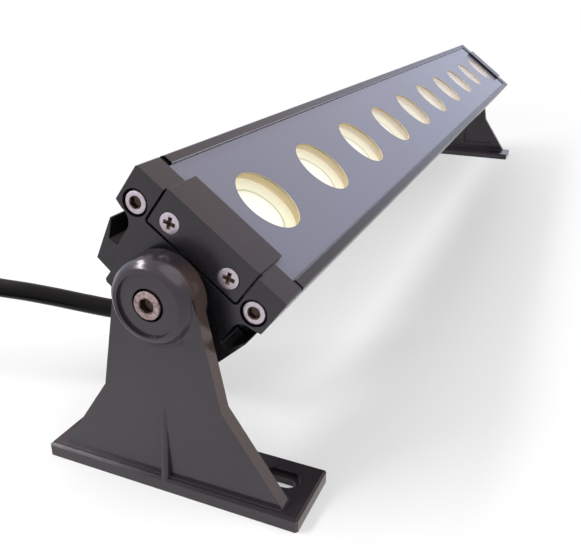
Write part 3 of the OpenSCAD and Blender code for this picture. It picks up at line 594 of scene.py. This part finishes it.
SHADERS = {
    "coat": housing_coat("coat", (0.009, 0.008, 0.010), 0.24, 1400, 0.004, (0.94, 0.92, 0.95)),
    "cast_coat": powder_coat("cast_coat", (0.012, 0.011, 0.013), 0.26, 1100, 0.004, (1.0, 0.94, 1.0)),
    "bracket_coat": bracket_coat(
        "bracket_coat", (0.026, 0.022, 0.027), 0.21, 1100, 0.004, (1.0, 0.92, 0.98)),
    # The glass seal's pale grey is painted light, which lightens its shaded groove round the glass
    "glass_seal": rubber("glass_seal", (0.42, 0.42, 0.48), 0.6),
    "seal": rubber("seal", (0.003, 0.003, 0.003), 0.8),
    "front_glass": clear_glass(),
    "mask": window_sheet(),
    "steel": turned_metal("stainless", (0.52, 0.46, 0.50), 0.42),
    # Dark brown metal for the screws' drives: painted shade in the recesses
    "drive": turned_metal("screw_drive", (0.12, 0.085, 0.07), 0.5),
    "pivot_steel": turned_metal("pivot_steel", (0.34, 0.255, 0.25), 0.45, 0.35),
    "dark_steel": turned_metal("washer_steel", (0.45, 0.45, 0.46), 0.34),
    "cup": reflector(),
    "lens": opal_lens(),
    "emitter": moulded("phosphor", (0.85, 0.72, 0.25), 0.4),
    "board_white": circuit_board("board_white", (0.8, 0.81, 0.8)),
    "driver_metal": turned_metal("driver_metal", (0.62, 0.63, 0.64), 0.42),
    "board_green": circuit_board("board_green", (0.03, 0.16, 0.06)),
    "part_black": moulded("part_black", (0.02, 0.02, 0.022), 0.45),
    "wire_brown": moulded("wire_brown", (0.20, 0.08, 0.04), 0.4),
    "wire_red": moulded("wire_red", (0.40, 0.03, 0.02), 0.4),
    "gland": moulded("gland_nylon", (0.018, 0.018, 0.019), 0.42),
    "cord": cord_sheath(),
    "tie": moulded("tie_nylon", (0.022, 0.022, 0.023), 0.38),
    "core_brown": moulded("core_brown", (0.20, 0.07, 0.025), 0.38),
    "core_blue": moulded("core_blue", (0.03, 0.12, 0.42), 0.38),
    "core_green": moulded("core_green", (0.15, 0.36, 0.06), 0.38),
}

# Shader and edge rounding in millimetres of every CAD node that stays
LOOKS = {
    "bracket_near": ("bracket_coat", 0.35), "bracket_far": ("bracket_coat", 0.35),
    "housing": ("coat", 0.25), "end_cap_near": ("cast_coat", 0.35), "end_cap_far": ("cast_coat", 0.35),
    "end_gasket_near": ("seal", 0), "end_gasket_far": ("seal", 0),
    "front_glass": ("front_glass", 0), "mask_plate": ("mask", 0), "glass_gasket": ("glass_seal", 0),
    "clamp_near": ("cast_coat", 0.8), "clamp_far": ("cast_coat", 0.8), "clamp_pads": ("seal", 0),
    "reflector_cups": ("cup", 0), "diffuser_lenses": ("lens", 0.2), "led_emitters": ("emitter", 0.2),
    "led_board": ("board_white", 0), "board_screws": ("steel", 0.2),
    "driver_case": ("driver_metal", 0.3), "driver_lid": ("driver_metal", 0.3),
    "driver_board": ("board_green", 0), "driver_parts": ("part_black", 0.4),
    "supply_wires": ("wire_brown", 0), "output_wires": ("wire_red", 0),
    "pivot_washer_near": ("dark_steel", 0.2), "pivot_washer_far": ("dark_steel", 0.2),
    "gland_body": ("gland", 0.4), "gland_locknut": ("dark_steel", 0.3), "gland_seal": ("seal", 0),
    "gland_nut": ("gland", 0.4), "cord_inlet": ("cord", 0), "cord_ties": ("tie", 0.25),
    "core_ferrules": ("steel", 0.15),
}


def wear(piece, *names):
    """Gives a piece the named materials, one to a slot."""
    piece.data.materials.clear()
    for name in names:
        piece.data.materials.append(SHADERS[name].mat)
    return piece


def dress_frame():
    for name, (look, rounding) in LOOKS.items():
        wear(soften(name, rounding), look)


# Screws
def hex_mouth(head_r):
    """Radius of a hexagon socket in any direction."""
    across = head_r * SOCKET_SHARE / 2
    return lambda turn: across / math.cos(turn % math.radians(60) - math.radians(30))


def cross_mouth():
    """Radius of a cross recess in any direction."""
    half_w, half_len = CROSS_HALF

    def radius(turn):
        part = (turn + CROSS_TURN) % math.radians(90)
        part = min(part, math.radians(90) - part)
        return min(half_len / math.cos(part), half_w / max(math.sin(part), 0.01))
    return radius


def knurled(radius):
    return lambda turn: radius - KNURL_HALF * (1 - math.cos(KNURLS * turn))


def ring(x, radius, share=1.0):
    """Ring across the screw's axis; its radius is a number or a function of the turn."""
    turns = [2 * math.pi * k / RING for k in range(RING)]
    reach = [share * (radius(t) if callable(radius) else radius) for t in turns]
    return [(x, r * math.cos(t), r * math.sin(t)) for r, t in zip(reach, turns)]


def screw_rings(kind, size):
    """Rings from the drive's bottom over the head to the shank's end, and how many line the drive."""
    r, h, shank, deep = size["head_r"], size["head_h"], size["shank_r"], size["deep"]
    if kind == "clamp_screws":
        end = size["length"]
        mouth = cross_mouth()
        drive = [ring(deep * part, mouth, share) for part, share in CROSS_POINTS]
        drive += [ring(MOUTH_BEVEL, mouth)]
        head = [ring(0, mouth, CROSS_FLARE)]
        head += [ring(x, r - inset) for x, inset in CLAMP_RIM]
    else:
        end = h + size["length"]
        mouth = hex_mouth(r)
        drive = [ring(deep + POINT_DEPTH, mouth, POINT_SHARE), ring(deep, mouth), ring(SOCKET_BEVEL, mouth)]
        head = [ring(0, mouth(0) + MOUTH_BEVEL)]
        head += [ring(x, r - inset) for x, inset in SOCKET_RIM]
        head += [ring(x, knurled(r)) for x in (KNURL_START, h - KNURL_STOP)]
        head += [ring(h - x, r - inset) for x, inset in UNDERSIDE]
    shaft = [ring(h, shank)] + [ring(end - x, shank - inset) for x, inset in TIP]
    return drive + head + shaft, len(drive)


def build_screw(name, kind, places, body):
    """One piece with a screw at each place; a place holds the sides along X and Y."""
    size = SCREWS[kind]
    rings, drive = screw_rings(kind, size)
    x, y, z = size["at"]
    verts, faces, shaded = [], [], []
    for side_x, side_y in places:
        base = len(verts)
        for line in rings:
            verts += [(side_x * (x - p[0]), side_y * y + p[1], z + p[2]) for p in line]
        for i in range(len(rings) - 1):
            for k in range(RING):
                a, b = base + i * RING + k, base + i * RING + (k + 1) % RING
                faces.append((a, b, b + RING, a + RING)[::side_x])
                shaded.append(i < drive)
        bottom = tuple(range(base, base + RING))
        tip = tuple(range(base + (len(rings) - 1) * RING, base + len(rings) * RING))
        faces += [bottom[::-side_x], tip[::side_x]]
        shaded += [True, False]
    place = Matrix.Translation((0, 0, PIVOT_H)) @ Matrix.Rotation(TILT, 4, "X")
    piece = mesh_object(name, [place @ (Vector(v) * MM) for v in verts], faces)
    # The drives and the socket's bottom take the dark metal of painted shade
    wear(piece, size["look"], "drive")
    piece.data.polygons.foreach_set("material_index", [int(d) for d in shaded])
    shade(piece)
    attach(piece, body)
    return piece


def build_screws():
    corners = [(-1, 1), (-1, -1), (1, 1), (1, -1)]
    for kind in ("cap_screws", "clamp_screws"):
        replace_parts(build_screw(kind + "_turned", kind, corners, "head"), kind)
    for end, side in (("near", -1), ("far", 1)):
        node = "pivot_screw_" + end
        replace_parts(build_screw(node + "_turned", "pivot_screw", [(side, 1)], "head"), node)


# Cord
def metres(points):
    """Points in millimetres as vectors in metres."""
    return [Vector(p) * MM for p in points]


def smooth_line(points, step):
    """Points a step apart on a Catmull-Rom curve through the given ones."""
    ends = [2 * points[0] - points[1], *points, 2 * points[-1] - points[-2]]
    line = []
    for a, b, c, d in zip(ends, ends[1:], ends[2:], ends[3:]):
        count = max(1, round((c - b).length / step))
        for i in range(count):
            t = i / count
            line.append(0.5 * (2 * b + (c - a) * t + (2 * a - 5 * b + 4 * c - d) * t ** 2
                               + (3 * b - a - 3 * c + d) * t ** 3))
    line.append(points[-1])
    return line


def coil_radius(turns):
    """Radius of the coil's centre line, which draws in a little more over its last part."""
    share = max(0, min(1, 1 - (COIL_TURNS - turns) / EASE_TURNS))
    return COIL_RADIUS - COIL_PITCH * turns - COIL_EASE * share * share * (3 - 2 * share)


def coil_point(turns):
    angle = math.radians(COIL_START + 360 * turns)
    return Vector(COIL_CENTRE) + coil_radius(turns) * Vector((math.cos(angle), math.sin(angle), 0))


def coil_heading(turns):
    angle = math.radians(COIL_START + 360 * turns)
    return Vector((-math.sin(angle), math.cos(angle), 0))


def straight(start, end):
    """Points between two others, the last one included."""
    return [start + (end - start) * i / LEAD_STEPS for i in range(1, LEAD_STEPS + 1)]


def cord_path():
    """Centre line from the gland along the route and round the coil, in metres."""
    count = math.ceil(COIL_TURNS * COIL_RINGS)
    coil = [coil_point(COIL_TURNS * i / count) for i in range(count + 1)]
    first = coil[0] - CORD_D * coil_heading(0)
    last = coil[-1] + CORD_D * coil_heading(COIL_TURNS)
    free = smooth_line(metres([CORD_EXIT, *CORD_ROUTE, first]), CORD_STEP * MM)
    lead = straight(first, coil[0])[:-1]
    return free + metres(lead + coil + straight(coil[-1], last))


def tube(name, path, radius, sides, start_dir=None):
    """Closed tube along a path, its rings carried on without twist."""
    count = len(path)
    dirs = [(path[min(i + 1, count - 1)] - path[max(i - 1, 0)]).normalized() for i in range(count)]
    if start_dir is not None:
        dirs[0] = Vector(start_dir).normalized()
    side = dirs[0].cross(Vector((1, 0, 0))).normalized()
    verts = []
    for point, along in zip(path, dirs):
        side = (side - along * side.dot(along)).normalized()
        up = along.cross(side)
        for k in range(sides):
            turn = 2 * math.pi * k / sides
            verts.append(point + radius * (math.cos(turn) * side + math.sin(turn) * up))
    faces = [tuple(range(sides))[::-1], tuple(range((count - 1) * sides, count * sides))]
    for i in range(count - 1):
        for k in range(sides):
            a, b = i * sides + k, i * sides + (k + 1) % sides
            faces.append((a, b, b + sides, a + sides))
    return mesh_object(name, verts, faces)


def core_path(length, place):
    """A core's line: bent round the coil's inner side, at its place in the sheath."""
    last = coil_point(COIL_TURNS) + CORD_D * coil_heading(COIL_TURNS)
    base = math.radians(COIL_START + 360 * COIL_TURNS)
    radial = Vector((math.cos(base), math.sin(base), 0))
    centre = last - CORE_BEND * radial
    reach = CORE_BEND + CORE_OFF * math.cos(place)
    line = []
    for i in range(CORE_STEPS + 1):
        turn = base + length / CORE_BEND * i / CORE_STEPS
        point = centre + reach * Vector((math.cos(turn), math.sin(turn), 0))
        line.append(point + Vector((0, 0, CORE_OFF * math.sin(place))))
    return metres(line)


def build_cord():
    path = cord_path()
    cord = wear(tube("supply_cord_sheath", path, CORD_D / 2 * MM, CORD_SIDES, -Vector(HEAD_UP)), "cord")
    for name, values in CORES.items():
        look = values["look"]
        line = core_path(values["length"], math.radians(values["place"]))
        core = wear(tube(name + "_wire", line, CORE_R * MM, CORE_SIDES), look)
        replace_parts(core, name)
        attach(core, "near_bracket")
    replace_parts(cord, "supply_cord", "cord_coil")
    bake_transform(cord)


# Stage
def strip_light(name, start, end, width, power):
    """Long lamp between two points that faces the near boss."""
    lamp = bpy.data.lights.new(name, "AREA")
    lamp.shape = "RECTANGLE"
    length = Vector(end) - Vector(start)
    lamp.size, lamp.size_y = length.length, width
    lamp.energy = power
    obj = link(bpy.data.objects.new(name, lamp))
    middle = (Vector(start) + Vector(end)) / 2
    along = length.normalized()
    back = middle - Vector(BOSS)
    back = (back - along * back.dot(along)).normalized()
    turn = Matrix((along, back.cross(along), back)).transposed()
    obj.matrix_world = Matrix.Translation(middle) @ turn.to_4x4()
    return obj


def sun(direction, strength, spread):
    lamp = bpy.data.lights.new("sun", "SUN")
    lamp.energy = strength
    lamp.angle = math.radians(spread)
    obj = link(bpy.data.objects.new("sun", lamp))
    obj.rotation_euler = Vector(direction).to_track_quat("-Z", "Y").to_euler()


def build_lamps():
    sun(**SUN)
    for name, values in STRIPS.items():
        lamp = strip_light(name, **values)
        if name in GLOSS_ONLY:
            lamp.visible_diffuse = False
            lamp.visible_transmission = False


def build_floor():
    """White sheet that keeps the shadow round the object and is plain white further away."""
    corners = [(x * FLOOR_HALF, y * FLOOR_HALF, 0) for x, y in ((-1, -1), (1, -1), (1, 1), (-1, 1))]
    floor = mesh_object("floor", corners, [(0, 1, 2, 3)], smooth=False)
    s = Shader("floor_paper", (0.96, 0.96, 0.96), 0.9, Specular_IOR_Level=0.0)
    s.vary_color(s.noise(3), 0.995, 1.005)
    far = s.span(s.measure("LENGTH", s.scaled(FADE_SHARES)), *FADE_RANGE, 0, 1)
    white = s.node("ShaderNodeEmission").outputs["Emission"]
    s.show(s.mix_shaders(s.calculate("MULTIPLY", far, s.seen_rays()), s.main.outputs["BSDF"], white))
    floor.data.materials.append(s.mat)


def build_world():
    """Pale room that lights evenly, white where it is seen and faintly tinted where it is mirrored."""
    world = bpy.data.worlds.new("room")
    bpy.context.scene.world = world
    world.use_nodes = True
    net = Net(world.node_tree)
    light = net.tree.nodes["Background"]
    net.feed(WHITE, light.inputs["Color"])
    net.feed(WORLD_LIGHT, light.inputs["Strength"])
    split = net.node("ShaderNodeSeparateXYZ")
    net.feed(net.node("ShaderNodeTexCoord").outputs["Generated"], split.inputs[0])
    tint = net.mix_colors(net.span(split.outputs["Z"], *TINT_RISE, 0, 1), LOW_TINT, HIGH_TINT)
    mirrored = net.node("ShaderNodeLightPath").outputs["Is Glossy Ray"]
    view = net.node("ShaderNodeBackground")
    net.feed(net.mix_colors(mirrored, WHITE, tint), view.inputs["Color"])
    room = net.mix_shaders(net.seen_rays(), light.outputs["Background"], view.outputs["Background"])
    net.feed(room, net.tree.nodes["World Output"].inputs["Surface"])


def build_camera():
    data = bpy.data.cameras.new("camera")
    data.sensor_fit = "HORIZONTAL"
    data.sensor_width = SENSOR_MM
    data.lens = LENS_MM
    data.clip_start, data.clip_end = CLIP_RANGE
    camera = link(bpy.data.objects.new("camera", data))
    axes = Matrix((CAMERA_RIGHT, -Vector(CAMERA_DOWN), -Vector(CAMERA_FORWARD))).transposed()
    camera.matrix_world = Matrix.Translation(CAMERA_AT) @ axes.to_4x4()
    bpy.context.scene.camera = camera


build_camera()
build_world()
build_floor()
build_lamps()
dress_frame()
build_screws()
build_cord()

bpy.context.scene.view_settings.view_transform = "Standard"
